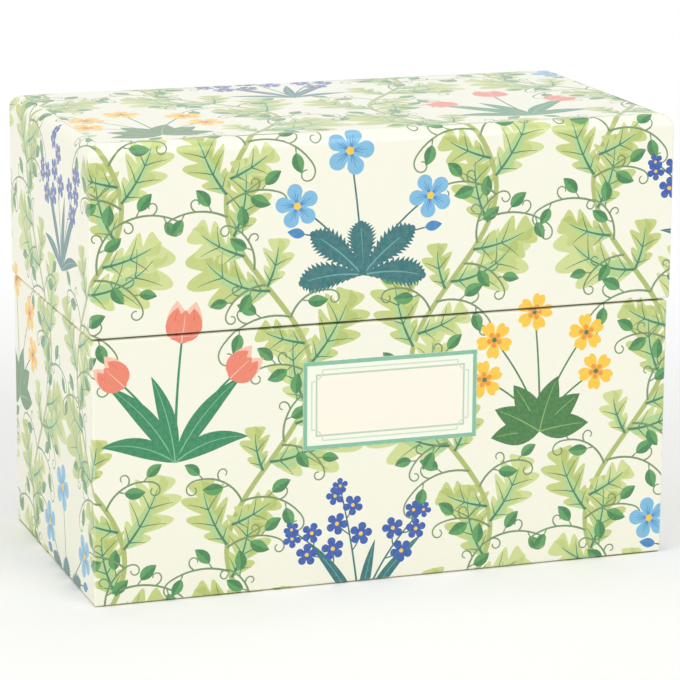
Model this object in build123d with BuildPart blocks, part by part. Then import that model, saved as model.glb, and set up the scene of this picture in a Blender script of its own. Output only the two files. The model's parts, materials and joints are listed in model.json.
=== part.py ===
from build123d import *
import os

# A rigid card box with a deep hinged lid, made of greyboard and covered in printed paper.
# Millimetres. +X is the right-hand side seen from the front, +Y the back, +Z up.
# The origin is the middle of the underside, on the table.

# ---- outside of the covered box
base_width = 168.0          # side to side, over the base's covering paper
base_depth = 89.0           # front to back, over the base's covering paper
base_height = 74.4          # table to the base's rim
lid_height = 52.5           # lid's rim to its top
parting_gap = 0.6           # the dark line between the two rims
top_edge_radius = 3.5       # rounded-over edge all round the lid's top, over the paper
upright_radius = 0.6        # upright corners, over the paper

# ---- boards
base_board = 2.0            # walls and floor of the base
lid_board = 1.8             # walls of the lid
top_board = 3.6             # laminated top, thick enough to be rounded over
neck_board = 1.2            # liner boards that locate the lid
neck_proud = 8.0            # how far the neck stands above the base's rim
neck_corner_cut = 2.5       # clipped upper back corner of each side liner

# ---- papers and cloth
wrap_paper = 0.25           # printed covering
lining_paper = 0.15         # plain paper on the neck and round the inside of the lid
sheet_paper = 0.25          # underside sheet, floor, back lining and ceiling
stay_paper = 0.2            # folded corner stays
label_paper = 0.2
hinge_cloth = 0.35
turn_in = 14.0              # covering turned over a rim and down inside
turn_under = 16.0           # covering turned under the bottom
flap_seam = 0.4             # open seam where two turned flaps meet at a corner
underside_margin = 3.0      # side of the box to the edge of the underside sheet
underside_corner = 1.5      # corner radius of the underside sheet
stay_leg = 12.0             # one leg of a folded corner stay
stay_end_gap = 1.0          # turned-in covering to the end of a stay
neck_tuck = 10.0            # neck paper tucked down between neck and wall
lining_margin = 4.0         # lid's rim to the lower edge of its wall lining
back_lining_margin = 2.0    # base's rim to the upper edge of its back lining
hinge_leaf = 14.0           # height of cloth glued to each back wall
hinge_end_margin = 2.0      # side of the box to the end of the cloth

# ---- clearances
neck_clearance = 0.55       # neck to lid, so that the lid's front edge swings clear of the neck
neck_back_gap = 0.65        # back ends of the side liners to the lid's back wall

# ---- label
label_width = 51.0
label_height = 25.0
label_offset = 0.9          # middle of the label to the right of the middle of the box
label_drop = 10.1           # base's rim to the upper edge of the label

# ---- base in plan, half sizes from the outside in
base_out_x = base_width / 2
base_out_y = base_depth / 2
base_board_out_x = base_out_x - wrap_paper
base_board_out_y = base_out_y - wrap_paper
base_board_in_x = base_board_out_x - base_board
base_board_in_y = base_board_out_y - base_board
base_in_x = base_board_in_x - wrap_paper
base_in_y = base_board_in_y - wrap_paper
upright_board_radius = upright_radius - wrap_paper

# ---- base in height
board_foot = sheet_paper + wrap_paper
floor_top = board_foot + base_board
board_rim = base_height - wrap_paper
turn_in_foot = base_height - turn_in

# ---- neck, whose paper lies against the turned-in covering of the base
neck_out_x = base_in_x - lining_paper
neck_out_y = base_in_y - lining_paper
neck_in_x = neck_out_x - neck_board
neck_in_y = neck_out_y - neck_board
neck_face_x = neck_in_x - lining_paper
neck_face_y = neck_in_y - lining_paper
neck_top = base_height + neck_proud

# ---- lid in plan: grown outwards from the neck, and level with the base at the back
lid_in_x = base_in_x + neck_clearance
lid_in_front = -base_in_y - neck_clearance
lid_board_in_x = lid_in_x + lining_paper + wrap_paper
lid_board_in_front = lid_in_front - lining_paper - wrap_paper
lid_board_out_x = lid_board_in_x + lid_board
lid_board_out_front = lid_board_in_front - lid_board
lid_out_x = lid_board_out_x + wrap_paper
lid_out_front = lid_board_out_front - wrap_paper
lid_out_back = base_out_y
lid_board_out_back = lid_out_back - wrap_paper
lid_board_in_back = lid_board_out_back - lid_board
lid_in_back = lid_board_in_back - wrap_paper - lining_paper
neck_back_end = lid_in_back - neck_back_gap

# ---- lid in height
lid_rim = base_height + parting_gap
lid_board_rim = lid_rim + wrap_paper
lid_turn_in_top = lid_rim + turn_in
total_height = lid_rim + lid_height
lid_board_top = total_height - wrap_paper
lid_ceiling = lid_board_top - top_board

# ---- hinge line: outer face of the cloth, half way up the parting gap
hinge_y = base_out_y + hinge_cloth
hinge_z = base_height + parting_gap / 2

corner_signs = [(side, end) for side in (-1, 1) for end in (-1, 1)]


def slab(half_x, front, back, foot, top, mode=Mode.ADD):
    """Block over a plan rectangle, from one height to another."""
    with BuildSketch(Plane.XY.offset(foot)) as outline:
        with Locations((0, (front + back) / 2)):
            Rectangle(2 * half_x, back - front)
    extrude(outline.sketch, amount=top - foot, mode=mode)


# ---------------------------------------------------------------- base boards
with BuildPart() as base_bottom_board:
    slab(base_board_in_x, -base_board_in_y, base_board_in_y, board_foot, floor_top)


def full_width_wall(half_x, outer_y, inner_y, foot, top):
    """Front or back wall board, running past the side walls, with its outer uprights eased."""
    with BuildPart() as wall:
        slab(half_x, min(outer_y, inner_y), max(outer_y, inner_y), foot, top)
        uprights = wall.edges().filter_by(Axis.Z)
        fillet(uprights.sort_by(lambda edge: abs(edge.center().Y - outer_y))[:2], upright_board_radius)
    return wall


def fitted_side_wall(outer_x, inner_x, front, back, foot, top):
    """Side wall board, fitted between the front and back walls."""
    with BuildPart() as wall:
        with BuildSketch(Plane.XY.offset(foot)):
            with Locations(((outer_x + inner_x) / 2, (front + back) / 2)):
                Rectangle(abs(outer_x - inner_x), back - front)
        extrude(amount=top - foot)
    return wall


base_front_board = full_width_wall(
    base_board_out_x, -base_board_out_y, -base_board_in_y, board_foot, board_rim
)
base_back_board = full_width_wall(
    base_board_out_x, base_board_out_y, base_board_in_y, board_foot, board_rim
)
base_left_board = fitted_side_wall(
    -base_board_out_x, -base_board_in_x, -base_board_in_y, base_board_in_y, board_foot, board_rim
)
base_right_board = fitted_side_wall(
    base_board_out_x, base_board_in_x, -base_board_in_y, base_board_in_y, board_foot, board_rim
)


# ---------------------------------------------------------------- corner stays
def folded_stays(half_x, front, back, foot, top):
    """Four strips of stay paper, each folded into an inside corner."""
    with BuildPart() as stays:
        with BuildSketch(Plane.XY.offset(foot)):
            for side, end in corner_signs:
                corner_x = side * half_x
                corner_y = back if end > 0 else front
                with BuildLine():
                    Polyline(
                        (corner_x, corner_y),
                        (corner_x - side * stay_leg, corner_y),
                        (corner_x - side * stay_leg, corner_y - end * stay_paper),
                        (corner_x - side * stay_paper, corner_y - end * stay_paper),
                        (corner_x - side * stay_paper, corner_y - end * stay_leg),
                        (corner_x, corner_y - end * stay_leg),
                        close=True,
                    )
                make_face()
        extrude(amount=top - foot)
    return stays


base_corner_stays = folded_stays(
    base_board_in_x, -base_board_in_y, base_board_in_y, floor_top, turn_in_foot - stay_end_gap
)


# ---------------------------------------------------------------- coverings
def eased_block(half_x, front, back, foot, top, corner_radius, edge_radius=0):
    """Closed block with eased uprights and, for a lid, a rounded-over upper edge."""
    with BuildPart() as block:
        slab(half_x, front, back, foot, top)
        if edge_radius > 0:
            fillet(block.faces().sort_by(Axis.Z)[-1].edges(), edge_radius)
        with BuildSketch(Plane.XY.offset(foot)):
            with Locations((0, (front + back) / 2)):
                RectangleRounded(2 * half_x, back - front, corner_radius)
        extrude(amount=top - foot, mode=Mode.INTERSECT)
    return block


def cut_corner_seams(half_x, front, back, foot, top):
    """Upright open seams between the four turned-in flaps, one at each inside corner."""
    with BuildSketch(Plane.XY.offset(foot)) as seams:
        for side, end in corner_signs:
            corner_y = back if end > 0 else front
            with Locations((side * (half_x + wrap_paper / 2), corner_y - end * flap_seam / 2)):
                Rectangle(wrap_paper, flap_seam)
    extrude(seams.sketch, amount=top - foot, mode=Mode.SUBTRACT)


# One printed sheet goes up the walls, over the rim and down inside, and under the bottom.
base_boards = eased_block(
    base_board_out_x, -base_board_out_y, base_board_out_y, board_foot, board_rim, upright_board_radius
)
with BuildPart() as base_wrap:
    add(eased_block(base_out_x, -base_out_y, base_out_y, sheet_paper, base_height, upright_radius))
    add(base_boards, mode=Mode.SUBTRACT)
    slab(base_board_in_x, -base_board_in_y, base_board_in_y, turn_in_foot, board_rim)
    slab(base_in_x, -base_in_y, base_in_y, board_foot, base_height, mode=Mode.SUBTRACT)
    under_x = base_out_x - turn_under
    under_y = base_out_y - turn_under
    slab(under_x, -under_y, under_y, sheet_paper, board_foot, mode=Mode.SUBTRACT)
    cut_corner_seams(base_in_x, -base_in_y, base_in_y, turn_in_foot, board_rim)
    with BuildSketch(Plane.XY.offset(sheet_paper)):
        for side, end in corner_signs:
            seam_end = turn_under + flap_seam
            seam_length = (seam_end - upright_radius) * 2**0.5
            seam_middle = (seam_end + upright_radius) / 2
            with Locations((side * (base_out_x - seam_middle), end * (base_out_y - seam_middle))):
                Rectangle(seam_length, flap_seam, rotation=side * end * 45)
    extrude(amount=wrap_paper, mode=Mode.SUBTRACT)

with BuildPart() as base_underside_paper:
    with BuildSketch():
        RectangleRounded(
            2 * (base_out_x - underside_margin), 2 * (base_out_y - underside_margin), underside_corner
        )
    extrude(amount=sheet_paper)

# ---------------------------------------------------------------- neck
with BuildPart() as neck_front_board:
    slab(neck_out_x, -neck_out_y, -neck_in_y, floor_top, neck_top)


def neck_outline(plane, front, cover):
    """Side view of the neck under a cover of paper, with the clipped upper back corner."""
    with BuildSketch(plane) as outline:
        with BuildLine():
            Polyline(
                (front, floor_top),
                (neck_back_end, floor_top),
                (neck_back_end, neck_top - neck_corner_cut + cover * 2**0.5),
                (neck_back_end - neck_corner_cut + cover * (2**0.5 - 1), neck_top + cover),
                (front, neck_top + cover),
                close=True,
            )
        make_face()
    return outline.sketch


def side_liner(low_x):
    """Side liner board, standing behind the front one."""
    with BuildPart() as liner:
        extrude(neck_outline(Plane.YZ.offset(low_x), -neck_in_y, 0), amount=neck_board)
    return liner


neck_left_board = side_liner(-neck_out_x)
neck_right_board = side_liner(neck_in_x)

# The paper runs round the three boards inside, over their upper edges, and is tucked down outside.
with BuildPart() as neck_paper:
    extrude(neck_outline(Plane.YZ, -base_in_y, lining_paper), amount=base_in_x, both=True)
    extrude(neck_outline(Plane.YZ, -neck_out_y, 0), amount=neck_out_x, both=True, mode=Mode.SUBTRACT)
    tuck_foot = base_height - neck_tuck
    slab(base_in_x, -base_in_y, neck_back_end, floor_top, tuck_foot, mode=Mode.SUBTRACT)
    extrude(neck_outline(Plane.YZ, -neck_in_y, lining_paper), amount=neck_in_x, both=True)
    slab(neck_face_x, -neck_face_y, neck_back_end, floor_top, total_height, mode=Mode.SUBTRACT)

# ---------------------------------------------------------------- base linings and label
with BuildPart() as floor_paper:
    slab(neck_face_x, -neck_face_y, base_in_y - sheet_paper, floor_top, floor_top + sheet_paper)

with BuildPart() as back_lining:
    slab(base_in_x, base_in_y - sheet_paper, base_in_y, floor_top, base_height - back_lining_margin)

with BuildPart() as front_label:
    label_middle = base_height - label_drop - label_height / 2
    with BuildSketch(Plane.XZ.offset(base_out_y)):
        with Locations((label_offset, label_middle)):
            Rectangle(label_width, label_height)
    extrude(amount=label_paper)

# ---------------------------------------------------------------- lid boards
lid_front_board = full_width_wall(
    lid_board_out_x, lid_board_out_front, lid_board_in_front, lid_board_rim, lid_ceiling
)
lid_back_board = full_width_wall(
    lid_board_out_x, lid_board_out_back, lid_board_in_back, lid_board_rim, lid_ceiling
)
lid_left_board = fitted_side_wall(
    -lid_board_out_x, -lid_board_in_x, lid_board_in_front, lid_board_in_back, lid_board_rim, lid_ceiling
)
lid_right_board = fitted_side_wall(
    lid_board_out_x, lid_board_in_x, lid_board_in_front, lid_board_in_back, lid_board_rim, lid_ceiling
)
lid_top_board = eased_block(
    lid_board_out_x,
    lid_board_out_front,
    lid_board_out_back,
    lid_ceiling,
    lid_board_top,
    upright_board_radius,
    top_edge_radius - wrap_paper,
)
lid_corner_stays = folded_stays(
    lid_board_in_x,
    lid_board_in_front,
    lid_board_in_back,
    lid_turn_in_top + stay_end_gap,
    lid_ceiling,
)

# ---------------------------------------------------------------- lid covering and linings
# One printed sheet covers the top, the rounded edges and the walls, and is turned in at the rim.
lid_boards = eased_block(
    lid_board_out_x,
    lid_board_out_front,
    lid_board_out_back,
    lid_board_rim,
    lid_board_top,
    upright_board_radius,
    top_edge_radius - wrap_paper,
)
with BuildPart() as lid_wrap:
    add(
        eased_block(
            lid_out_x, lid_out_front, lid_out_back, lid_rim, total_height, upright_radius, top_edge_radius
        )
    )
    add(lid_boards, mode=Mode.SUBTRACT)
    turned_in_x = lid_in_x + lining_paper
    turned_in_front = lid_in_front - lining_paper
    turned_in_back = lid_in_back + lining_paper
    slab(lid_board_in_x, lid_board_in_front, lid_board_in_back, lid_board_rim, lid_turn_in_top)
    slab(turned_in_x, turned_in_front, turned_in_back, lid_rim, lid_turn_in_top, mode=Mode.SUBTRACT)
    cut_corner_seams(turned_in_x, turned_in_front, turned_in_back, lid_board_rim, lid_turn_in_top)

with BuildPart() as lid_wall_lining:
    lining_foot = lid_rim + lining_margin
    slab(turned_in_x, turned_in_front, turned_in_back, lining_foot, lid_ceiling)
    slab(lid_in_x, lid_in_front, lid_in_back, lining_foot, lid_ceiling, mode=Mode.SUBTRACT)
    # the strip's two ends meet at the back left corner
    with BuildSketch(Plane.XY.offset(lining_foot)):
        with Locations((-lid_in_x + flap_seam / 2, lid_in_back + lining_paper / 2)):
            Rectangle(flap_seam, lining_paper)
    extrude(amount=lid_ceiling - lining_foot, mode=Mode.SUBTRACT)

with BuildPart() as lid_ceiling_paper:
    slab(lid_in_x, lid_in_front, lid_in_back, lid_ceiling - sheet_paper, lid_ceiling)

# ---------------------------------------------------------------- hinge
with BuildPart() as hinge_cloth_lower:
    slab(base_out_x - hinge_end_margin, base_out_y, hinge_y, base_height - hinge_leaf, hinge_z)

with BuildPart() as hinge_cloth_upper:
    slab(base_out_x - hinge_end_margin, lid_out_back, hinge_y, hinge_z, lid_rim + hinge_leaf)

# ---------------------------------------------------------------- files
pieces = {
    "base_bottom_board": base_bottom_board,
    "base_front_board": base_front_board,
    "base_back_board": base_back_board,
    "base_left_board": base_left_board,
    "base_right_board": base_right_board,
    "base_corner_stays": base_corner_stays,
    "base_wrap": base_wrap,
    "base_underside_paper": base_underside_paper,
    "neck_front_board": neck_front_board,
    "neck_left_board": neck_left_board,
    "neck_right_board": neck_right_board,
    "neck_paper": neck_paper,
    "floor_paper": floor_paper,
    "back_lining": back_lining,
    "front_label": front_label,
    "hinge_cloth_lower": hinge_cloth_lower,
    "lid_top_board": lid_top_board,
    "lid_front_board": lid_front_board,
    "lid_back_board": lid_back_board,
    "lid_left_board": lid_left_board,
    "lid_right_board": lid_right_board,
    "lid_corner_stays": lid_corner_stays,
    "lid_wrap": lid_wrap,
    "lid_wall_lining": lid_wall_lining,
    "lid_ceiling_paper": lid_ceiling_paper,
    "hinge_cloth_upper": hinge_cloth_upper,
}

os.makedirs("parts", exist_ok=True)
for name, piece in pieces.items():
    piece.part.label = name
    export_step(piece.part, f"parts/{name}.step")

print("total height", round(total_height, 3), "mm, lid overhang", round(lid_out_x - base_out_x, 3), "mm")
print("hinge line at y", round(hinge_y, 3), "z", round(hinge_z, 3))
print("card space", round(2 * neck_face_x, 2), "wide,", round(neck_face_y + base_in_y - sheet_paper, 2), "deep")
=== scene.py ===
import json
import math
import random

import bmesh
import bpy
import numpy as np
from mathutils import Matrix, Vector
from mathutils.geometry import delaunay_2d_cdt

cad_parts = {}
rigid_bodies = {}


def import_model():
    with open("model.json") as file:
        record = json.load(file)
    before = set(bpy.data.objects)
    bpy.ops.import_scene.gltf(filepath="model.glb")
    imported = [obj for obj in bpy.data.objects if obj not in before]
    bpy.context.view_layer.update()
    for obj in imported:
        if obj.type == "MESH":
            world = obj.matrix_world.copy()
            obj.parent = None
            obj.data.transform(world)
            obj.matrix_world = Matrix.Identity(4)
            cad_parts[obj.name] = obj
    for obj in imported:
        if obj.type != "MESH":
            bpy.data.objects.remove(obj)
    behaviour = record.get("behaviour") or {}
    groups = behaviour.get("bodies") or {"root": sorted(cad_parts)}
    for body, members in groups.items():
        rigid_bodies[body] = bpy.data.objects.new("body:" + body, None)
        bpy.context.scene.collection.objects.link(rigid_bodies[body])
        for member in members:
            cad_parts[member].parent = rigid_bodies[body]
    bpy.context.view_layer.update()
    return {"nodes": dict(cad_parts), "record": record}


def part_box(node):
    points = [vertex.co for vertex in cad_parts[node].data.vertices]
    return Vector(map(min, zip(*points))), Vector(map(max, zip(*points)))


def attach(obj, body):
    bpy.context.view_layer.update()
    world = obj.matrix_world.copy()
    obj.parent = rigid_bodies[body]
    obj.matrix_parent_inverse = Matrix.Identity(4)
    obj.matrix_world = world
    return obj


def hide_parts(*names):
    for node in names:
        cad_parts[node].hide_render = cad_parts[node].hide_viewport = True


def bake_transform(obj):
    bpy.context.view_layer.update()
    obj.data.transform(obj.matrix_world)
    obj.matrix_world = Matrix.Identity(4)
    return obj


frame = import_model()
nodes = frame["nodes"]
mm = 0.001
print("frame loaded:", len(nodes), "pieces")


def boxOf(node):
    # lowest and highest corner of a CAD piece in millimetres
    low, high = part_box(node)
    return np.array(low) / mm, np.array(high) / mm


def linkObject(name, mesh):
    made = bpy.data.objects.new(name, mesh)
    bpy.context.scene.collection.objects.link(made)
    return made


# the camera's place and lens are in millimetres, its angles in degrees
photoCamera = {
    "place": (-296.1, -860.2, 276.0),
    "azimuth": -19.081,
    "elevation": 13.434,
    "roll": 0.318,
    "lens": 171.6,
    "sensor": 36.0,
    "clip": (0.01, 50.0),  # metres
}

# lengths in millimetres, colours as they look on a screen, from 0 to 255
studio = {
    "floorSize": 9000.0,
    "floorColour": (238, 238, 238),
    "floorSpeckle": 0.985,
    "floorGlow": 0.13,
    "whiteFrom": 130.0,
    "whiteAt": 420.0,
    "roomLight": 0.56,
    # name, place, size, watts, colour of the light from 0 to 1
    "lamps": (
        ("frontLamp", (500, -1500, 900), 1100, 9.35, (1.0, 1.0, 1.0)),
        ("leftLamp", (-1500, -500, 700), 1000, 8.4, (1.0, 0.985, 0.87)),
        ("topLamp", (0, 100, 1700), 1200, 5.9, (1.0, 1.0, 1.0)),
    ),
    "aim": (0, 0, 60),
}
whiteLight = (1.0, 1.0, 1.0, 1.0)


def linear(colour):
    # 0-255 screen colour to the scene's linear colour
    share = np.array(colour, float) / 255
    return tuple(np.where(share <= 0.04045, share / 12.92, ((share + 0.055) / 1.055) ** 2.4)) + (1.0,)


def makeCamera():
    azimuth, elevation, roll = (math.radians(photoCamera[k]) for k in ("azimuth", "elevation", "roll"))
    level = math.cos(elevation)
    right = Vector((math.cos(azimuth), math.sin(azimuth), 0))
    back = Vector((math.sin(azimuth) * level, -math.cos(azimuth) * level, math.sin(elevation)))
    up = back.cross(right)
    rolledRight = right * math.cos(roll) + up * math.sin(roll)
    rolledUp = up * math.cos(roll) - right * math.sin(roll)
    axes = Matrix((rolledRight, rolledUp, back)).transposed()
    camera = linkObject("camera", bpy.data.cameras.new("camera"))
    camera.data.lens = photoCamera["lens"]
    camera.data.sensor_width = photoCamera["sensor"]
    camera.data.clip_start, camera.data.clip_end = photoCamera["clip"]
    camera.matrix_world = Matrix.Translation(Vector(photoCamera["place"]) * mm) @ axes.to_4x4()
    bpy.context.scene.camera = camera


makeCamera()
print("camera set")


class Signal:
    # one output of a node, which can be used in sums
    def __init__(self, tree, socket):
        self.tree = tree
        self.socket = socket

    def sum(self, operation, first, second=None):
        values = {0: first} if second is None else {0: first, 1: second}
        return self.tree.node("ShaderNodeMath", {"operation": operation}, values)

    def __add__(self, other):
        return self.sum("ADD", self, other)

    def __radd__(self, other):
        return self.sum("ADD", other, self)

    def __sub__(self, other):
        return self.sum("SUBTRACT", self, other)

    def __rsub__(self, other):
        return self.sum("SUBTRACT", other, self)

    def __mul__(self, other):
        return self.sum("MULTIPLY", self, other)

    def __rmul__(self, other):
        return self.sum("MULTIPLY", other, self)

    def __truediv__(self, other):
        return self.sum("DIVIDE", self, other)

    def __mod__(self, other):
        return self.sum("FLOORED_MODULO", self, other)

    def __pow__(self, other):
        return self.sum("POWER", self, other)

    def __abs__(self):
        return self.sum("ABSOLUTE", self)

    def whole(self):
        return self.sum("FLOOR", self)

    def least(self, other):
        return self.sum("MINIMUM", self, other)

    def most(self, other):
        return self.sum("MAXIMUM", self, other)

    def wave(self):
        return self.sum("SINE", self)

    def fade(self, start, end):
        # 0 at start, 1 at end, eased between
        return self.tree.node(
            "ShaderNodeMapRange",
            {"interpolation_type": "SMOOTHSTEP"},
            {"Value": self, "From Min": start, "From Max": end},
        )


class Tree:
    # a node tree written node by node
    def __init__(self, nodeTree):
        self.nodeTree = nodeTree

    def feed(self, socket, value):
        if isinstance(value, Signal):
            self.nodeTree.links.new(value.socket, socket)
        else:
            socket.default_value = value

    def node(self, kind, settings=None, values=None, output=0):
        made = self.nodeTree.nodes.new(kind)
        for key, value in (settings or {}).items():
            setattr(made, key, value)
        for key, value in (values or {}).items():
            self.feed(made.inputs[key], value)
        return None if output is None else Signal(self, made.outputs[output])


class Finish(Tree):
    # a material with one Principled shader
    def __init__(self, name):
        self.material = bpy.data.materials.new(name)
        self.material.use_nodes = True
        super().__init__(self.material.node_tree)
        self.nodeTree.nodes.clear()
        self.end = self.nodeTree.nodes.new("ShaderNodeOutputMaterial")
        self.shader = self.nodeTree.nodes.new("ShaderNodeBsdfPrincipled")
        self.nodeTree.links.new(self.shader.outputs[0], self.end.inputs["Surface"])
        self.place = self.node("ShaderNodeTexCoord", output="Object")

    def set(self, **values):
        # keyword names are the shader's socket names with their spaces left out
        sockets = {socket.name.replace(" ", ""): socket for socket in self.shader.inputs}
        for key, value in values.items():
            self.feed(sockets[key], value)
        return self

    def noise(self, scale, detail=2.0, roughness=0.5, stretch=None):
        vector = self.place
        if stretch:
            vector = self.node("ShaderNodeMapping", values={"Vector": self.place, "Scale": stretch})
        values = {"Vector": vector, "Scale": scale, "Detail": detail, "Roughness": roughness}
        return self.node("ShaderNodeTexNoise", values=values)

    def mix(self, factor, first, second):
        # the colour sockets of a Mix node are its seventh and eighth inputs and its third output
        return self.node("ShaderNodeMix", {"data_type": "RGBA"}, {0: factor, 6: first, 7: second}, 2)

    def bump(self, height, strength, depth):
        return self.node("ShaderNodeBump", values={"Height": height, "Strength": strength, "Distance": depth})


def axesOf(finish):
    # x, y and z of the place that the finish follows
    split = finish.node("ShaderNodeSeparateXYZ", values={0: finish.place}).socket.node
    return [Signal(finish, split.outputs[k]) for k in range(3)]


def pictureRays(tree):
    # 1 for what the camera sees, directly or mirrored
    camera, glossy, through = (
        tree.node("ShaderNodeLightPath", output=name)
        for name in ("Is Camera Ray", "Is Glossy Ray", "Is Transmission Ray")
    )
    return camera.most(glossy).most(through)


def makeFloor():
    half = studio["floorSize"] / 2 * mm
    mesh = bpy.data.meshes.new("floor")
    corners = [(-half, -half, 0), (half, -half, 0), (half, half, 0), (-half, half, 0)]
    mesh.from_pydata(corners, [], [(0, 1, 2, 3)])
    floor = linkObject("floor", mesh)
    paint = Finish("paleFloor")
    speckle = paint.noise(6.0, 3.0)
    colour = linear(studio["floorColour"])
    pale = tuple(studio["floorSpeckle"] * c for c in colour[:3]) + (1.0,)
    paint.set(BaseColor=paint.mix(speckle, colour, pale), Roughness=0.9, SpecularIORLevel=0.1)
    mesh.materials.append(paint.material)
    # seen a little brighter near the box, and white further off; the light on the box stays plain
    x, y, _ = axesOf(paint)
    away = ((x * x + y * y) ** 0.5).fade(studio["whiteFrom"] * mm, studio["whiteAt"] * mm)
    lit = Signal(paint, paint.shader.outputs[0])
    white = paint.node("ShaderNodeEmission", values={"Color": whiteLight, "Strength": 1.0})
    glow = paint.node("ShaderNodeEmission", values={"Color": whiteLight, "Strength": studio["floorGlow"]})
    near = paint.node("ShaderNodeAddShader", values={0: lit, 1: glow})
    far = paint.node("ShaderNodeMixShader", values={0: away, 1: near, 2: white})
    seen = paint.node("ShaderNodeMixShader", values={0: pictureRays(paint), 1: lit, 2: far})
    paint.feed(paint.end.inputs["Surface"], seen)


def makeRoom():
    world = bpy.data.worlds.new("room")
    bpy.context.scene.world = world
    world.use_nodes = True
    world.node_tree.nodes.clear()
    room = Tree(world.node_tree)
    dim, white = (
        room.node("ShaderNodeBackground", values={"Color": whiteLight, "Strength": strength})
        for strength in (studio["roomLight"], 1.0)
    )
    seen = room.node("ShaderNodeMixShader", values={0: pictureRays(room), 1: dim, 2: white})
    room.node("ShaderNodeOutputWorld", values={"Surface": seen}, output=None)
    for name, place, size, watts, tint in studio["lamps"]:
        lamp = bpy.data.lights.new(name, "AREA")
        lamp.shape = "DISK"
        lamp.size = size * mm
        lamp.energy, lamp.color = watts, tint
        holder = linkObject(name, lamp)
        holder.location = Vector(place) * mm
        toward = Vector(studio["aim"]) - Vector(place)
        holder.rotation_mode = "QUATERNION"
        holder.rotation_quaternion = toward.to_track_quat("-Z", "Y")
    bpy.context.scene.view_settings.view_transform = "Standard"


makeFloor()
makeRoom()
print("floor and lamps set")


# noise scales are per metre; a pair is where something starts to show and where it shows in full
coatedPaper = {
    "cloudScale": 900.0,
    "fibreScale": 5200.0,
    "wash": 0.05,
    "fibreTone": 0.035,
    "fibreInk": (0.32, 0.30, 0.24, 1),
    "wornColour": (252, 250, 240),
    "wornShare": 0.45,
    "wornFrom": 0.00005,
    "roughness": 0.40,
    "grainDepth": 0.00004,
}


def printedFinish(name, low, high, fold):
    # ink on smooth coated paper, paler and rougher within fold of the edges; low, high and fold are in metres
    plan = coatedPaper
    finish = Finish(name)
    ink = finish.node("ShaderNodeAttribute", {"attribute_name": "ink"}, output="Color")
    cloud = finish.noise(plan["cloudScale"], 3.0, 0.6)
    fibre = finish.noise(plan["fibreScale"], 2.0, 0.5)
    x, y, z = axesOf(finish)
    middle, half = (np.array(low) + high) / 2, (np.array(high) - low) / 2
    gaps = [half[k] - abs(axis - float(middle[k])) for k, axis in enumerate((x, y, z))]
    near, far = gaps[0].least(gaps[1]), gaps[0].most(gaps[1])
    edge = near.most(far.least(gaps[2]))
    # the paper turns paler and rougher in patches within fold of the box's edges
    paleEdgeMask = (1 - edge.fade(plan["wornFrom"], fold)) * (cloud.fade(0.38, 0.62) * 0.7 + 0.3)
    shade = finish.mix(cloud.fade(0.3, 0.7) * plan["wash"], ink, whiteLight)
    tone = finish.mix(fibre.fade(0.35, 0.65) * plan["fibreTone"], shade, plan["fibreInk"])
    paleEdged = finish.mix(paleEdgeMask * plan["wornShare"], tone, linear(plan["wornColour"]))
    finish.set(
        BaseColor=paleEdged,
        Roughness=plan["roughness"] + 0.12 * cloud.fade(0.3, 0.7) + 0.12 * paleEdgeMask,
        Normal=finish.bump(fibre * 0.6 + cloud * 0.4, 0.25, plan["grainDepth"]),
        SpecularIORLevel=0.3,
        CoatWeight=0.65,
        CoatRoughness=0.2,
    )
    return finish.material


def toned(tint, share):
    # a screen colour made darker or lighter, as a linear colour
    return linear([min(255, c * share) for c in tint])


def boardFinish(name, tint):
    # grey board: pressed waste paper with darker and lighter flecks
    finish = Finish(name)
    cloud = finish.noise(160.0, 4.0, 0.6)
    fibre = finish.noise(1500.0, 3.0, 0.6, (1.0, 1.0, 0.35))
    fleck = finish.node("ShaderNodeTexVoronoi", {"feature": "F1"}, {"Vector": finish.place, "Scale": 420.0})
    colour = finish.mix(cloud.fade(0.3, 0.7), linear(tint), toned(tint, 0.9))
    colour = finish.mix((1 - fleck.fade(0.04, 0.16)) * 0.35, colour, toned(tint, 0.62))
    colour = finish.mix(fibre.fade(0.45, 0.7) * 0.22, colour, toned(tint, 1.18))
    relief = finish.bump(fibre + cloud * 0.5, 0.5, 0.0001)
    finish.set(BaseColor=colour, Roughness=0.82 + 0.1 * fibre, Normal=relief)
    return finish.material


laidPaper = {"ribPitch": 0.0011, "chainPitch": 0.025}  # metres


def laidFinish(name, tint, lines=True):
    # lining paper with fine ribs left by the mould, and wider chain lines across the sheet
    finish = Finish(name)
    x, y, _ = axesOf(finish)
    fibre = finish.noise(2400.0, 3.0, 0.6)
    cloud = finish.noise(110.0, 3.0, 0.55)
    ribs = ((x + y) * (2 * math.pi / laidPaper["ribPitch"])).wave() * 0.5 + 0.5
    chains = 1 - abs(((x + y) * (math.pi / laidPaper["chainPitch"])).wave()).fade(0.0, 0.06)
    height = ribs * (0.5 if lines else 0.0) + fibre * 0.6
    colour = finish.mix(cloud.fade(0.25, 0.75) * 0.6, linear(tint), toned(tint, 0.965))
    colour = finish.mix(fibre.fade(0.5, 0.75) * 0.14, colour, toned(tint, 0.86))
    if lines:
        colour = finish.mix(ribs * 0.05 + chains * 0.06, colour, toned(tint, 0.8))
    finish.set(BaseColor=colour, Roughness=0.72 + 0.12 * fibre, Normal=finish.bump(height, 0.35, 0.00005))
    return finish.material


def kraftFinish(name, tint):
    # gummed brown paper with long fibres
    finish = Finish(name)
    strand = finish.noise(900.0, 4.0, 0.65, (0.3, 0.3, 1.6))
    cloud = finish.noise(200.0, 3.0)
    colour = finish.mix(strand.fade(0.35, 0.7) * 0.5, linear(tint), toned(tint, 0.8))
    colour = finish.mix(cloud.fade(0.4, 0.8) * 0.25, colour, toned(tint, 1.15))
    finish.set(BaseColor=colour, Roughness=0.7 + 0.15 * strand, Normal=finish.bump(strand, 0.4, 0.00006))
    return finish.material


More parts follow.
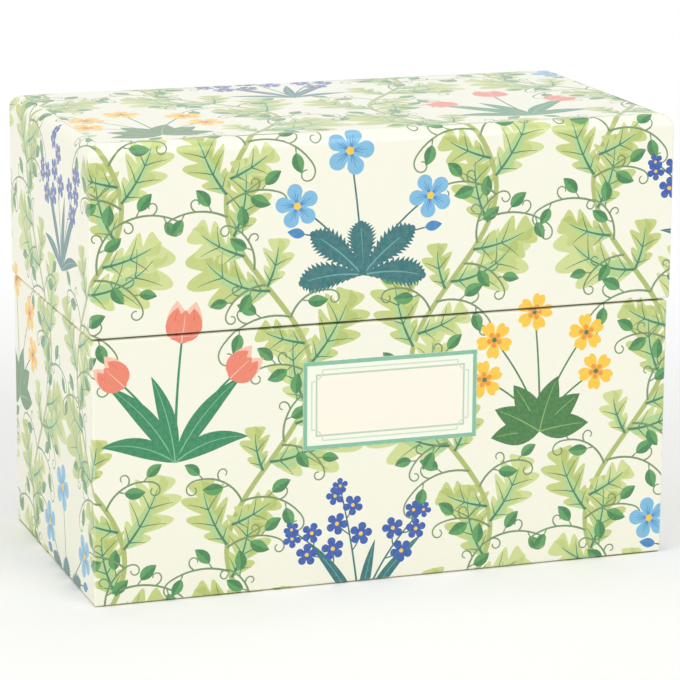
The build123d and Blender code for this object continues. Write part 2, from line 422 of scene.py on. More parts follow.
def clothFinish(name, tint, pitch):
    # plain-woven book cloth; its threads follow the strip's own map, in metres
    finish = Finish(name)
    finish.place = finish.node("ShaderNodeUVMap", {"uv_map": "clothMap"})
    u, v, _ = axesOf(finish)
    across = (u * (2 * math.pi / pitch)).wave()
    down = (v * (2 * math.pi / pitch)).wave()
    over = across * down
    warp = abs((u * (math.pi / pitch)).wave())
    weft = abs((v * (math.pi / pitch)).wave())
    height = (over * 0.5 + 0.5) * warp + (0.5 - over * 0.5) * weft
    slub = finish.noise(700.0, 3.0, 0.6, (1.0, 0.12, 1.0))
    # painted shade: where the weave's relief is low, between the threads, the cloth is coloured darker than
    # on the threads' tops
    colour = finish.mix(height.fade(0.1, 0.9), toned(tint, 0.78), linear(tint))
    colour = finish.mix(slub.fade(0.4, 0.75) * 0.35, colour, toned(tint, 1.12))
    relief = finish.bump(height + slub * 0.4, 0.6, 0.00012)
    finish.set(BaseColor=colour, Roughness=0.8 + 0.1 * slub, Normal=relief, SheenWeight=0.15)
    return finish.material


insideColours = {
    "board": (138, 130, 116),
    # partly painted shade: the lining is a darker sage than a pale paper would be, so that the shadowed gap
    # between lid and base looks darker
    "lining": (166, 190, 140),
    "underside": (240, 236, 218),
    "stays": (196, 160, 112),
}


def dressNodes():
    # the CAD pieces that stay get the finish of their material slot
    finishes = {
        "greyboard": boardFinish("greyBoard", insideColours["board"]),
        "lining_paper": laidFinish("liningPaper", insideColours["lining"]),
        "plain_paper": laidFinish("undersidePaper", insideColours["underside"], False),
        "stay_paper": kraftFinish("stayPaper", insideColours["stays"]),
    }
    for row in frame["record"]["subparts"]:
        wanted = finishes.get(row["material_slot"])
        node = nodes[row["node"]]
        if wanted and node.material_slots:
            for slot in node.material_slots:
                slot.material = wanted
        elif wanted:
            node.data.materials.append(wanted)


dressNodes()
print("boards and linings dressed")


# The print is drawn in millimetres, as closed outlines, each with an ink and a layer.
inks = {
    "ground": (247, 246, 229),
    "leafPale": (208, 220, 146),
    "leafOlive": (196, 209, 126),
    "leafDeep": (180, 196, 104),
    "leafWash": (174, 210, 142),
    "vein": (58, 122, 88),
    "vineStem": (172, 188, 104),
    "tendril": (110, 142, 92),
    "smallLeaf": (84, 156, 84),
    "smallLeafDeep": (52, 128, 70),
    "teal": (20, 108, 112),
    "tealPale": (96, 168, 164),
    "emerald": (16, 132, 84),
    "emeraldPale": (120, 190, 140),
    "moss": (52, 120, 50),
    "mossPale": (142, 180, 104),
    "cobalt": (24, 82, 172),
    "sky": (120, 186, 224),
    "skyDeep": (50, 132, 194),
    "gold": (252, 202, 46),
    "goldDeep": (238, 150, 30),
    "coral": (238, 128, 100),
    "coralPale": (250, 196, 172),
    "coralDeep": (220, 92, 70),
}
inkNames = list(inks)

# shares of a leaf's length, unless said otherwise
leafPlan = {
    "steps": 40,
    "ribSteps": 34,  # the ribs stop this far up the leaf
    "halfWidth": 0.33,
    "lobeDepth": 0.78,
    "shadeWidth": 0.62,
    "shadeDepth": 0.75,
    "washWidth": 0.085,
    "lean": 0.75,
    "ribWidth": (0.34, 0.07),  # millimetres, from foot to tip
    "sideRibWidth": (0.32, 0.1),
    "lobeSpread": 1.09,
}

printPlan = {
    # the repeat is drawn at this pitch and then enlarged
    "columnPitch": 46.0,
    "vinePeriod": 84.0,
    "vineSwing": 10.5,
    "stemSteps": 43,
    "sprigRise": 0.75,  # share of the period at which a bay is widest
    "sprigDrop": 19.0,
    "enlarged": 1.16,
    "shift": (19.0, -12.0),
    "block": (4, 2),  # columns and rows after which the four units come round again
    "seed": 11,
}


def cleanOutline(outline, closest=0.03):
    # drops points that repeat their neighbour and turns the outline anticlockwise
    step = np.linalg.norm(outline - np.roll(outline, 1, axis=0), axis=1)
    outline = outline[step > closest]
    x, y = outline[:, 0], outline[:, 1]
    area = np.sum(x * np.roll(y, -1) - y * np.roll(x, -1)) / 2
    return outline if area > 0 else outline[::-1]


def sweep(start, angle, length, turn=0.0, ease=1.0, steps=12):
    # points and headings of a stroke that turns as it goes
    share = np.linspace(0, 1, steps + 1)
    heading = angle + turn * share**ease
    middle = (heading[1:] + heading[:-1]) / 2
    moves = np.column_stack([np.cos(middle), np.sin(middle)]) * (length / steps)
    points = np.vstack([[0.0, 0.0], np.cumsum(moves, axis=0)]) + np.asarray(start)
    return points, heading


def ribbon(path, left, right=None, lean=0.0):
    # a closed outline with the given half widths beside a path
    points, heading = path
    right = left if right is None else right
    along = np.column_stack([np.cos(heading), np.sin(heading)])
    across = np.column_stack([-along[:, 1], along[:, 0]])
    leftSide = points + across * left[:, None] + along * (lean * left)[:, None]
    rightSide = points - across * right[:, None] + along * (lean * right)[:, None]
    return np.vstack([leftSide, rightSide[::-1]])


def bladeShape(share, widest=0.45):
    # half width of a plain leaf, from its foot to its point
    power = math.log(0.5) / math.log(widest)
    return np.sin(np.pi * share**power) ** 0.9


def lobedShape(share, lobes, depth, widest=0.46):
    # half width of a lobed leaf: round lobes with narrow bays between, the last one long
    power = math.log(0.5) / math.log(widest)
    body = np.sin(np.pi * share**power) ** 0.7
    wave = np.abs(np.sin(np.pi * lobes * share**0.92)) ** 0.8
    return body * (1 - depth * (1 - wave))


class Drawing:
    # closed outlines in the order in which they are printed, each with its layer and ink
    def __init__(self):
        self.shapes = []

    def add(self, layer, ink, outline):
        outline = cleanOutline(outline)
        if len(outline) > 2:
            self.shapes.append((layer, ink, outline))

    def merge(self, other, at=(0.0, 0.0), turn=0.0, size=1.0, mirror=False):
        spin = np.array([[math.cos(turn), -math.sin(turn)], [math.sin(turn), math.cos(turn)]])
        for layer, ink, outline in other.shapes:
            moved = outline * (-size if mirror else size, size)
            self.add(layer, ink, moved @ spin.T + np.asarray(at))

    def stroke(self, layer, ink, path, wide, thin=None):
        thin = wide if thin is None else thin
        self.add(layer, ink, ribbon(path, np.linspace(wide, thin, len(path[0])) / 2))

    def disc(self, layer, ink, at, radius, points=12):
        turn = np.linspace(0, 2 * np.pi, points, endpoint=False)
        self.add(layer, ink, np.column_stack([np.cos(turn), np.sin(turn)]) * radius + np.asarray(at))

    def petalRing(self, layer, ink, at, radius, petals, notch=0.0, waist=0.4, turn=0.0, points=6):
        # one outline for a whole ring of petals, rounded or notched at their tips
        around = np.linspace(0, 2 * np.pi, petals * points * 2, endpoint=False)
        off = (around * petals / np.pi + 1) % 2 - 1
        reach = waist + (1 - waist) * np.cos(np.pi / 2 * off) ** 0.5 - notch * np.exp(-((off / 0.2) ** 2))
        places = np.column_stack([np.cos(around + turn), np.sin(around + turn)]) * (reach * radius)[:, None]
        self.add(layer, ink, places + np.asarray(at))


def bigLeaf(drawing, at, angle, length, turn, tones, lobes=4):
    # a lobed leaf of the vine: body, a darker half, a pale green wash along the rib, ribs
    plan = leafPlan
    steps, ribSteps, spread = plan["steps"], plan["ribSteps"], plan["lobeSpread"]
    points, heading = path = sweep(at, angle, length, turn, steps=steps)
    share = np.linspace(0, 1, steps + 1)
    half = lobedShape(share, lobes, plan["lobeDepth"]) * length * plan["halfWidth"] + 0.12
    drawing.add(1, tones[0], ribbon(path, half, lean=plan["lean"]))
    shade = lobedShape(share, lobes, plan["shadeDepth"]) * length * plan["halfWidth"] * plan["shadeWidth"]
    drawing.add(1, tones[1], ribbon(path, shade * 0.02, shade, lean=plan["lean"]))
    ribPath = points[:ribSteps:3], heading[:ribSteps:3]
    wash = bladeShape(share[:ribSteps] / share[ribSteps - 1], 0.3) * length * plan["washWidth"] + 0.05
    drawing.add(1, "leafWash", ribbon(ribPath, wash[::3]))
    drawing.add(2, "vein", ribbon(ribPath, np.linspace(*plan["ribWidth"], ribSteps)[::3]))
    for k in range(1, lobes):
        spot = int(steps * ((k - 0.5) / lobes) ** spread)
        bay = int(steps * (k / lobes) ** spread)
        reach = half[min(steps, bay)] * 0.2 + half[min(steps, spot + 3)] * 1.05
        for side in (1, -1):
            rib = sweep(points[spot], heading[spot] + side * 0.8, reach, side * 0.25, steps=3)
            drawing.stroke(2, "vein", rib, *plan["sideRibWidth"])


def plainLeaf(drawing, layer, at, angle, length, width, turn, tones, rib=None):
    # a pointed leaf or petal: body, a second tone on its right half, a midrib
    steps = max(8, round(length * 0.7))
    path = sweep(at, angle, length, turn, steps=steps)
    share = np.linspace(0, 1, steps + 1)
    half = bladeShape(share) * width / 2 + 0.03
    drawing.add(layer, tones[0], ribbon(path, half))
    if tones[1]:
        drawing.add(layer, tones[1], ribbon(path, half * 0.02, half * 0.96))
    if rib:
        drawing.add(layer, rib, ribbon((path[0][:-1], path[1][:-1]), np.linspace(0.16, 0.06, steps)))


def tendril(drawing, at, angle, length, turn, leaves=(), curl=5.6):
    # a thin shoot with small leaves and a side twig, which ends in a curl
    steps, fork = 10, 6
    points, heading = path = sweep(at, angle, length, turn, steps=steps)
    drawing.stroke(2, "tendril", path, 0.55, 0.42)
    coil = sweep(points[-1], heading[-1], length * 0.62, math.copysign(curl, turn), ease=1.7, steps=18)
    drawing.stroke(2, "tendril", coil, 0.42, 0.32)
    away = -math.copysign(1.0, turn)
    twig = sweep(points[fork], heading[fork] + 0.7 * away, length * 0.42, 4.6 * away, ease=1.6, steps=11)
    drawing.stroke(2, "tendril", twig, 0.42, 0.3)
    for place, side, size in leaves:
        spot = int(place * steps)
        stalk = sweep(points[spot], heading[spot] + side * 0.9, size * 0.28, 0.0, steps=2)
        drawing.stroke(2, "tendril", stalk, 0.4, 0.3)
        tones = ("smallLeaf", "smallLeafDeep")
        plainLeaf(drawing, 2, stalk[0][-1], stalk[1][-1], size, size * 0.56, -side * 0.4, tones)


def vineColumn(choose):
    # one period of a column: the swinging stem, its big leaves and its shoots
    drawing = Drawing()
    period, swing = printPlan["vinePeriod"], printPlan["vineSwing"]

    def onStem(height):
        # place and heading of the stem
        phase = 2 * np.pi * height / period
        at = np.column_stack([swing * np.sin(phase), height])
        return at, np.arctan2(1.0, swing * np.cos(phase) * 2 * np.pi / period)

    stem = onStem(np.linspace(-1.0, period + 1.0, printPlan["stemSteps"] + 1))
    drawing.add(1, "vineStem", ribbon(stem, np.full(len(stem[1]), 0.62)))

    # along one side of the stem: height, length, opening angle, turn, lobes
    for height, length, opening, turn, lobes in (
        (8, 15, 0.8, 0.5, 3),
        (24, 19, 0.8, 0.5, 4),
        (41, 12, 1.15, 0.5, 3),
        (56, 18, 0.95, 0.7, 4),
        (70, 13, 1.0, 0.4, 3),
        (84, 23, 0.9, 1.1, 4),
    ):
        for side in (1, -1):
            drift = choose.uniform(-2.0, 2.0)
            (at,), along = onStem(height + drift + (0 if side > 0 else period / 2))
            tones = choose.choice((("leafOlive", "leafDeep"), ("leafPale", "leafOlive")))
            size = length * choose.uniform(0.92, 1.1)
            spread = opening + choose.uniform(-0.12, 0.12)
            bigLeaf(drawing, at, along - side * spread, size, side * turn, tones, lobes)
    # along one side: height, length, opening angle, turn, small leaves as place, side and size
    for height, length, opening, turn, leaves in (
        (3, 12, 0.9, -1.1, ((0.35, -1, 5.0), (0.8, 1, 4.4))),
        (16, 13, 0.9, -0.9, ((0.35, 1, 5.2), (0.8, -1, 4.6))),
        (33, 13, 0.9, -1.4, ((0.45, -1, 5.2), (0.9, 1, 4.6))),
        (48, 12, 0.8, 1.2, ((0.4, 1, 5.0), (0.85, -1, 5.2))),
        (63, 14, 0.9, -1.0, ((0.4, -1, 5.4), (0.75, 1, 5.0))),
        (77, 16, 0.7, -1.2, ((0.4, 1, 5.4), (0.75, -1, 5.2))),
    ):
        for side in (1, -1):
            drift = choose.uniform(-2.0, 2.0)
            (at,), along = onStem(height + drift + (0 if side > 0 else period / 2))
            mirrored = [(place, which * side, size) for place, which, size in leaves]
            size = length * choose.uniform(0.9, 1.15)
            tendril(drawing, at, along - side * opening, size, side * turn, mirrored)
    return drawing


def upright(foot, lean, length, turn, steps):
    # a stroke that leaves its foot leaning to the left of straight up
    return sweep(foot, math.pi / 2 + lean, length, turn, steps=steps)


# leaves are lean, length, width, turn; stems are lean, length, turn and the flower's size
tulip = {
    "leaves": (
        (0.9, 19, 4.6, 0.8),
        (0.4464, 26, 4.4, 0.5),
        (-0.4464, 26, 4.4, -0.5),
        (-0.9, 19, 4.6, -0.8),
        (0.0864, 22, 4.0, 0.35),
    ),
    "stems": ((0.0, 29, -0.12, 1.0), (0.34, 23, 0.45, 0.88), (-0.36, 24, -0.5, 0.9)),
    # side of the foot, lean, length, width, turn, ink, rib
    "petals": (
        (-0.4, 0.32, 10, 5.4, -0.25, "coralPale", None),
        (0.4, -0.32, 10, 5.4, 0.25, "coralPale", None),
        (-0.9, 0.5, 8.4, 4.6, -0.75, "coral", "coralDeep"),
        (0.9, -0.5, 8.4, 4.6, 0.75, "coral", "coralDeep"),
    ),
}


def tulipSprig():
    drawing = Drawing()
    for lean, length, width, turn in tulip["leaves"]:
        leaf = (length, width, turn)
        plainLeaf(drawing, 4, (0, 0), math.pi / 2 + lean, *leaf, ("emerald", None), "emeraldPale")
    for lean, length, turn, size in tulip["stems"]:
        stem = upright((0, 0), lean, length, turn, 8)
        drawing.stroke(3, "emerald", stem, 0.75, 0.5)
        bloom = Drawing()
        for foot, leaning, long, wide, bend, ink, rib in tulip["petals"]:
            plainLeaf(bloom, 4, (foot, 0), math.pi / 2 + leaning, long, wide, bend, (ink, None), rib)
        bloom.disc(4, "coral", (0, 1.3), 1.75, 14)  # rounded foot over the ends of the side petals
        plainLeaf(bloom, 4, (0, -0.2), math.pi / 2, 7.8, 5.4, 0.0, ("coral", None), "coralPale")
        drawing.merge(bloom, stem[0][-1], stem[1][-1] - math.pi / 2, size)
    return drawing


primrose = {
    "leaves": (1.5, 0.95, 0.4, -0.2, -0.75, -1.35),
    "leafLength": 14.5,
    "leafWidth": 6.2,
    "stems": ((0.02, 28, 0.1), (0.42, 25, 0.35), (-0.4, 25, -0.35), (0.85, 19, 0.4), (-0.85, 19, -0.4)),
    "fan": 0.8,  # share of their lean that the stems start with
    "bloom": 5.0,
}


def primroseSprig():
    drawing = Drawing()
    for k, lean in enumerate(primrose["leaves"]):
        length = primrose["leafLength"] - abs(lean) * 1.2
        turn = 0.25 * (1 if lean > 0 else -1)
        leaf = (length, primrose["leafWidth"], turn)
        plainLeaf(drawing, 3 + k % 2, (0, 0), math.pi / 2 + lean, *leaf, ("moss", None), "mossPale")
    for lean, length, turn in primrose["stems"]:
        stem = upright((0, 2), lean * primrose["fan"], length, turn, 8)
        drawing.stroke(3, "moss", stem, 0.5, 0.4)
        at, radius, spin = stem[0][-1], primrose["bloom"], lean * 2
        drawing.petalRing(5, "gold", at, radius, 5, notch=0.16, waist=0.3, turn=spin)
        drawing.petalRing(5, "goldDeep", at, radius * 0.4, 5, waist=0.2, turn=spin)
        drawing.disc(5, "moss", at, 0.62, 8)
    return drawing


spray = {
    "leaves": ((0.9, 17, 0.6), (0.42, 24, 0.35), (-0.1, 19, -0.2), (-0.5, 25, -0.4), (-1.0, 16, -0.6)),
    "leafWidth": 2.6,
    "stems": ((0.12, 33, 0.15), (0.5, 29, 0.6), (-0.42, 30, -0.55)),
    "fan": 0.7,
    # place on the stem, length of the stalk, size of the flower
    "flowers": ((8, 4.6, 2.9), (10, 4.4, 2.8), (12, 3.6, 2.6), (14, 2.8, 2.3), (16, 0.0, 2.0)),
}


def blueSpray():
    drawing = Drawing()
    for lean, length, turn in spray["leaves"]:
        leaf = (length, spray["leafWidth"], turn)
        plainLeaf(drawing, 3, (0, 0), math.pi / 2 + lean, *leaf, ("teal", None), "tealPale")
    for lean, length, turn in spray["stems"]:
        points, heading = stem = upright((0, 0), lean * spray["fan"], length, turn, 16)
        drawing.stroke(3, "teal", stem, 0.55, 0.35)
        for k, (spot, reach, size) in enumerate(spray["flowers"]):
            side = 1 if k % 2 else -1
            stalk = sweep(points[spot], heading[spot] + side * 0.85, max(reach, 0.2), -side * 0.4, steps=4)
            if reach:
                drawing.stroke(3, "teal", stalk, 0.35, 0.3)
            drawing.petalRing(5, "cobalt", stalk[0][-1], size, 5, waist=0.45, turn=k + lean, points=5)
            drawing.disc(5, "gold", stalk[0][-1], size * 0.2, 6)
    return drawing


flax = {
    "leaves": ((1.4, 16, 0.5), (0.7, 17, 0.35), (0.0, 13, 0.1), (-0.7, 17, -0.35), (-1.4, 16, -0.5)),
    "leafSteps": 30,
    "leafHalf": 3.7,
    "toothDepth": 0.68,
    "stems": ((0.05, 30, 0.12, 6.0), (0.5, 24, 0.5, 5.4), (-0.5, 25, -0.5, 5.4)),
    "rays": ((-0.22, 0.55), (0.0, 0.72), (0.22, 0.55)),  # angle and share of a petal
    "buds": ((0.68, 17, 0.7), (-0.72, 18, -0.7)),
}


def flaxSprig():
    drawing = Drawing()
    steps = flax["leafSteps"]
    teeth = np.where(np.arange(steps + 1) % 2, 1.0, flax["toothDepth"])
    half = bladeShape(np.linspace(0, 1, steps + 1), 0.55) * flax["leafHalf"] * teeth + 0.1
    for lean, length, turn in flax["leaves"]:
        points, heading = frond = upright((0, 0), lean, length, turn, steps)
        drawing.add(3, "teal", ribbon(frond, half, lean=0.6))
        drawing.stroke(3, "tealPale", (points[2:28:3], heading[2:28:3]), 0.42, 0.15)
    for lean, length, turn, size in flax["stems"]:
        stem = upright((0, 0), lean, length, turn, 10)
        drawing.stroke(3, "teal", stem, 0.5, 0.4)
        at = stem[0][-1]
        drawing.petalRing(5, "sky", at, size, 5, waist=0.4, turn=lean)
        for petal in range(5):
            for fan, share in flax["rays"]:
                ray = sweep(at, lean + 2 * math.pi * petal / 5 + fan, size * share, 0, steps=2)
                drawing.stroke(5, "skyDeep", ray, 0.34, 0.1)
        drawing.disc(5, "gold", at, size * 0.17, 8)
    for lean, length, turn in flax["buds"]:
        stem = upright((0, 2), lean, length, turn, 8)
        drawing.stroke(3, "teal", stem, 0.4, 0.35)
        plainLeaf(drawing, 4, stem[0][-1], stem[1][-1], 4.4, 2.4, 0, ("skyDeep", None))
    return drawing


def repeatUnits():
    # four units, alike in their vine and different in the sprig that stands in its bay
    units = []
    choose = random.Random(printPlan["seed"])
    size = printPlan["enlarged"]
    foot = printPlan["vinePeriod"] * printPlan["sprigRise"] - printPlan["sprigDrop"]
    for sprig in (primroseSprig, blueSpray, tulipSprig, flaxSprig):
        unit = Drawing()
        unit.merge(vineColumn(choose), size=size)
        unit.merge(sprig(), at=(printPlan["columnPitch"] / 2 * size, foot * size), size=size)
        units.append(unit)
    return units


def makeUnitObjects():
    # each unit of the repeat as flat faces that keep their ink and layer
    shelf = bpy.data.collections.new("printUnits")
    for number, unit in enumerate(repeatUnits()):
        sizes = [len(outline) for _, _, outline in unit.shapes]
        starts = np.concatenate([[0], np.cumsum(sizes)]).tolist()
        corners = np.vstack([outline for _, _, outline in unit.shapes])
        mesh = bpy.data.meshes.new("printUnit" + str(number))
        faces = [range(a, b) for a, b in zip(starts, starts[1:])]
        mesh.from_pydata(np.column_stack([corners, np.zeros(len(corners))]).tolist(), [], faces)
        layers = [layer for layer, _, _ in unit.shapes]
        inkOrder = [inkNames.index(ink) for _, ink, _ in unit.shapes]
        for name, values in (("layer", layers), ("ink", inkOrder)):
            mesh.attributes.new(name, "INT", "FACE").data.foreach_set("value", values)
        shelf.objects.link(bpy.data.objects.new(mesh.name, mesh))
        print(mesh.name, "has", len(faces), "outlines")
    return shelf


def makeRepeatTree():
    # columns in half drop; column and row say which unit stands at a place
    group = bpy.data.node_groups.new("printRepeat", "GeometryNodeTree")
    sockets = {}
    for name, kind in (
        ("Units", "Collection"),
        ("Unit Count", "Int"),
        ("Start", "Vector"),
        ("Columns", "Int"),
        ("Rows", "Int"),
        ("Pitch", "Float"),
        ("Period", "Float"),
        ("Finish", "Material"),
    ):
        socket = group.interface.new_socket(name, in_out="INPUT", socket_type="NodeSocket" + kind)
        sockets[name] = socket.identifier
    group.interface.new_socket("Print", in_out="OUTPUT", socket_type="NodeSocketGeometry")
    tree = Tree(group)
    given = group.nodes.new("NodeGroupInput")
    take = {name: Signal(tree, given.outputs[name]) for name in sockets}
    index = tree.node("GeometryNodeInputIndex")
    column = (index / take["Rows"]).whole()
    row = index % take["Rows"]
    across = column * take["Pitch"]
    up = (row + (column % 2) * 0.5) * take["Period"]
    place = tree.node("ShaderNodeCombineXYZ", values={0: across, 1: up})
    place = tree.node("ShaderNodeVectorMath", {"operation": "ADD"}, {0: place, 1: take["Start"]})
    count = take["Columns"] * take["Rows"]
    points = tree.node("GeometryNodePoints", values={"Count": count, "Position": place})
    chosen = {"Collection": take["Units"], "Separate Children": True}
    units = tree.node("GeometryNodeCollectionInfo", values=chosen)
    which = (column + row * 2) % take["Unit Count"]
    laid = tree.node(
        "GeometryNodeInstanceOnPoints",
        values={"Points": points, "Instance": units, "Pick Instance": True, "Instance Index": which},
    )
    whole = tree.node("GeometryNodeRealizeInstances", values={0: laid})
    inked = tree.node("GeometryNodeSetMaterial", values={"Geometry": whole, "Material": take["Finish"]})
    group.links.new(inked.socket, group.nodes.new("NodeGroupOutput").inputs[0])
    return group, sockets


printUnits = makeUnitObjects()
repeatTree, repeatSockets = makeRepeatTree()


class PrintedPaper:
    # paper with its print, large enough for a window; outlines are asked for by window
    def __init__(self, low, high, finish):
        size = printPlan["enlarged"]
        step = np.array([printPlan["columnPitch"], printPlan["vinePeriod"]]) * size
        shift = np.array(printPlan["shift"])
        # starting at whole blocks keeps every sheet's print in step
        block = step * printPlan["block"]
        start = (np.floor((np.array(low) - shift) / block) - 1) * block + shift
        columns, rows = (int(k) for k in np.ceil((np.array(high) - start) / step) + 1)
        holder = linkObject("printRoll", bpy.data.meshes.new("printRoll"))
        repeat = holder.modifiers.new("repeat", "NODES")
        repeat.node_group = repeatTree
        for name, value in (
            ("Units", printUnits),
            ("Unit Count", len(printUnits.objects)),
            ("Start", (start[0], start[1], 0.0)),
            ("Columns", columns),
            ("Rows", rows),
            ("Pitch", step[0]),
            ("Period", step[1]),
            ("Finish", finish),
        ):
            repeat[repeatSockets[name]] = value
        graph = bpy.context.evaluated_depsgraph_get()
        roll = bpy.data.meshes.new_from_object(holder.evaluated_get(graph))
        self.finish = roll.materials[roll.polygons[0].material_index]
        self.readOutlines(roll)
        bpy.data.objects.remove(holder)
        bpy.data.meshes.remove(roll)

    def readOutlines(self, roll):
        # each face of the roll as an outline with its ink, its box and its place in the printing order
        corners = np.zeros(len(roll.vertices) * 3)
        roll.vertices.foreach_get("co", corners)
        order = np.zeros(len(roll.loops), int)
        roll.loops.foreach_get("vertex_index", order)
        corners = corners.reshape(-1, 3)[order, :2]
        starts, layers, tones = (np.zeros(len(roll.polygons), int) for _ in range(3))
        roll.polygons.foreach_get("loop_start", starts)
        roll.attributes["layer"].data.foreach_get("value", layers)
        roll.attributes["ink"].data.foreach_get("value", tones)
        self.outlines, self.tones = np.split(corners, starts[1:]), tones
        self.first, self.last = np.minimum.reduceat(corners, starts), np.maximum.reduceat(corners, starts)
        self.order = np.argsort(layers, kind="stable")

    def within(self, low, high):
        # the inks and outlines that reach into a window, bottom layer first
        reaches = np.all(self.last > low, axis=1) & np.all(self.first < high, axis=1)
        return [(int(self.tones[k]), self.outlines[k]) for k in self.order if reaches[k]]


def rectangle(low, high):
    return np.array([(low[0], low[1]), (high[0], low[1]), (high[0], high[1]), (low[0], high[1])])


def cutPaper(outline, creases, shapes):
    # points and triangles of a flat sheet, and the number of the ink that lies on each triangle
    corners, edges, faces = list(map(tuple, outline)), [], [list(range(len(outline)))]
    for crease in creases:
        start = len(corners)
        corners += map(tuple, crease)
        edges += [(start + k, start + k + 1) for k in range(len(crease) - 1)]
    inksUsed = [0]  # the ground, which is the first ink
    for ink, shape in shapes:
        start = len(corners)
        corners += map(tuple, shape)
        faces.append(list(range(start, start + len(shape))))
        inksUsed.append(ink)
    cut = delaunay_2d_cdt([Vector(c) for c in corners], edges, faces, 1, 1e-5, True)
    points, triangles, owners = cut[0], cut[2], cut[5]
    kept = [(t, inksUsed[max(o)]) for t, o in zip(triangles, owners) if o and min(o) == 0]
    used = np.unique([t for t, _ in kept])
    renumber = np.full(len(points), -1)
    renumber[used] = np.arange(len(used))
    return (
        np.array([points[k] for k in used]),
        renumber[np.array([t for t, _ in kept])],
        np.array([ink for _, ink in kept]),
    )


def openEdges(triangles):
    # directed edges that only one triangle has, with that triangle's number
    starts, ends = triangles.ravel(), np.roll(triangles, -1, axis=1).ravel()
    size = triangles.max() + 1
    key = np.minimum(starts, ends) * size + np.maximum(starts, ends)
    _, first, count = np.unique(key, return_index=True, return_counts=True)
    lone = first[count == 1]
    return {(int(starts[k]), int(ends[k])): int(k // 3) for k in lone}


class SheetPath:
    # a sheet followed across its bends: v is the length along it, depth lies behind the wall's face
    # runs are their kind, their length or radius, and their number of steps; v is 0 where zeroRun starts
    def __init__(self, start, heading, runs, zeroRun):
        depth, height = start
        self.legs, self.stations, length = [], [], 0.0
        for number, (kind, size, steps) in enumerate(runs):
            if number == zeroRun:
                zero = length
            self.legs.append((length, kind, size, depth, height, heading))
            span = size if kind == "straight" else size * math.pi / 2
            self.stations += [length + span * k / steps for k in range(steps)]
            if kind == "straight":
                depth += size * math.cos(heading)
                height += size * math.sin(heading)
            else:
                middle = (depth + size * math.sin(heading), height - size * math.cos(heading))
                heading -= math.pi / 2
                depth = middle[0] - size * math.sin(heading)
                height = middle[1] + size * math.cos(heading)
            length += span
        self.stations = np.array(self.stations + [length]) - zero
        self.legs = [(v - zero, *rest) for v, *rest in self.legs]
        self.low, self.high = self.stations[0], self.stations[-1]

    def at(self, v):
        # depth, height and the outward normal's share along each
        v = np.atleast_1d(v)
        found = np.zeros((4, len(v)))
        for first, kind, size, depth, height, heading in self.legs:
            here = v >= first - 1e-9
            run = v[here] - first
            if kind == "straight":
                angle = np.full(len(run), heading)
                places = (depth + run * math.cos(heading), height + run * math.sin(heading))
            else:
                angle = heading - run / size
                middle = (depth + size * math.sin(heading), height - size * math.cos(heading))
                places = (middle[0] - size * np.sin(angle), middle[1] + size * np.cos(angle))
            found[:, here] = (*places, -np.sin(angle), np.cos(angle))
        return found


cornerFade = 0.7  # share of the rolled top edge over which an upright corner changes into a top corner


class Box:
    # the covered box: its corners in millimetres and how round its uprights and top edges are
    def __init__(self, low, high, upright, topEdge=0.0, topCorner=0.0):
        self.low, self.high, self.upright = low, high, upright
        self.topEdge, self.topCorner = topEdge, topCorner

    def cornerRadius(self, depth, height):
        # how round the sheet's corner is at a depth behind the face and at a height
        plain = np.maximum(self.upright - depth, 0.0)
        if not self.topEdge:
            return plain
        rise = np.clip(height - (self.high[2] - self.topEdge), 0, self.topEdge)
        ball = np.sqrt(self.topEdge**2 - rise**2)
        share = np.clip(rise / (cornerFade * self.topEdge), 0, 1)
        share = share * share * (3 - 2 * share)
        eased = self.upright + (np.minimum(ball, self.topCorner) - self.upright) * share
        eased = np.where(ball > self.upright, eased, ball)
        return np.where(rise > 0, eased, plain)

    def soften(self, places, normals, depth):
        # rolls the sharp uprights and top corners round
        radius = self.cornerRadius(depth, places[:, 2])
        for side in ((-1, -1), (-1, 1), (1, -1), (1, 1)):
            limit = np.where(np.array(side) > 0, self.high[:2], -self.low[:2])
            off = places[:, :2] * side - (limit - (depth + radius)[:, None])
            near = (off[:, 0] > 0) & (off[:, 1] > 0) & (radius > 1e-6)
            reach = np.hypot(off[near, 0], off[near, 1])
            outward = off[near] * side
            places[near, :2] += outward * (radius[near] / reach - 1)[:, None]
            level = np.hypot(normals[near, 0], normals[near, 1])
            normals[near, :2] = outward * (level / reach)[:, None]
        return places, normals


cornerCreases = 4  # creases in each half of a rolled corner

walls = {
    # direction to the right as seen from outside, direction inwards, seams at the left and right
    "front": ((1, 0), (0, 1), "leftFront", "frontRight"),
    "right": ((0, 1), (-1, 0), "frontRight", "rightBack"),
    "back": ((-1, 0), (0, -1), "rightBack", "backLeft"),
    "left": ((0, -1), (1, 0), "backLeft", "leftFront"),
}


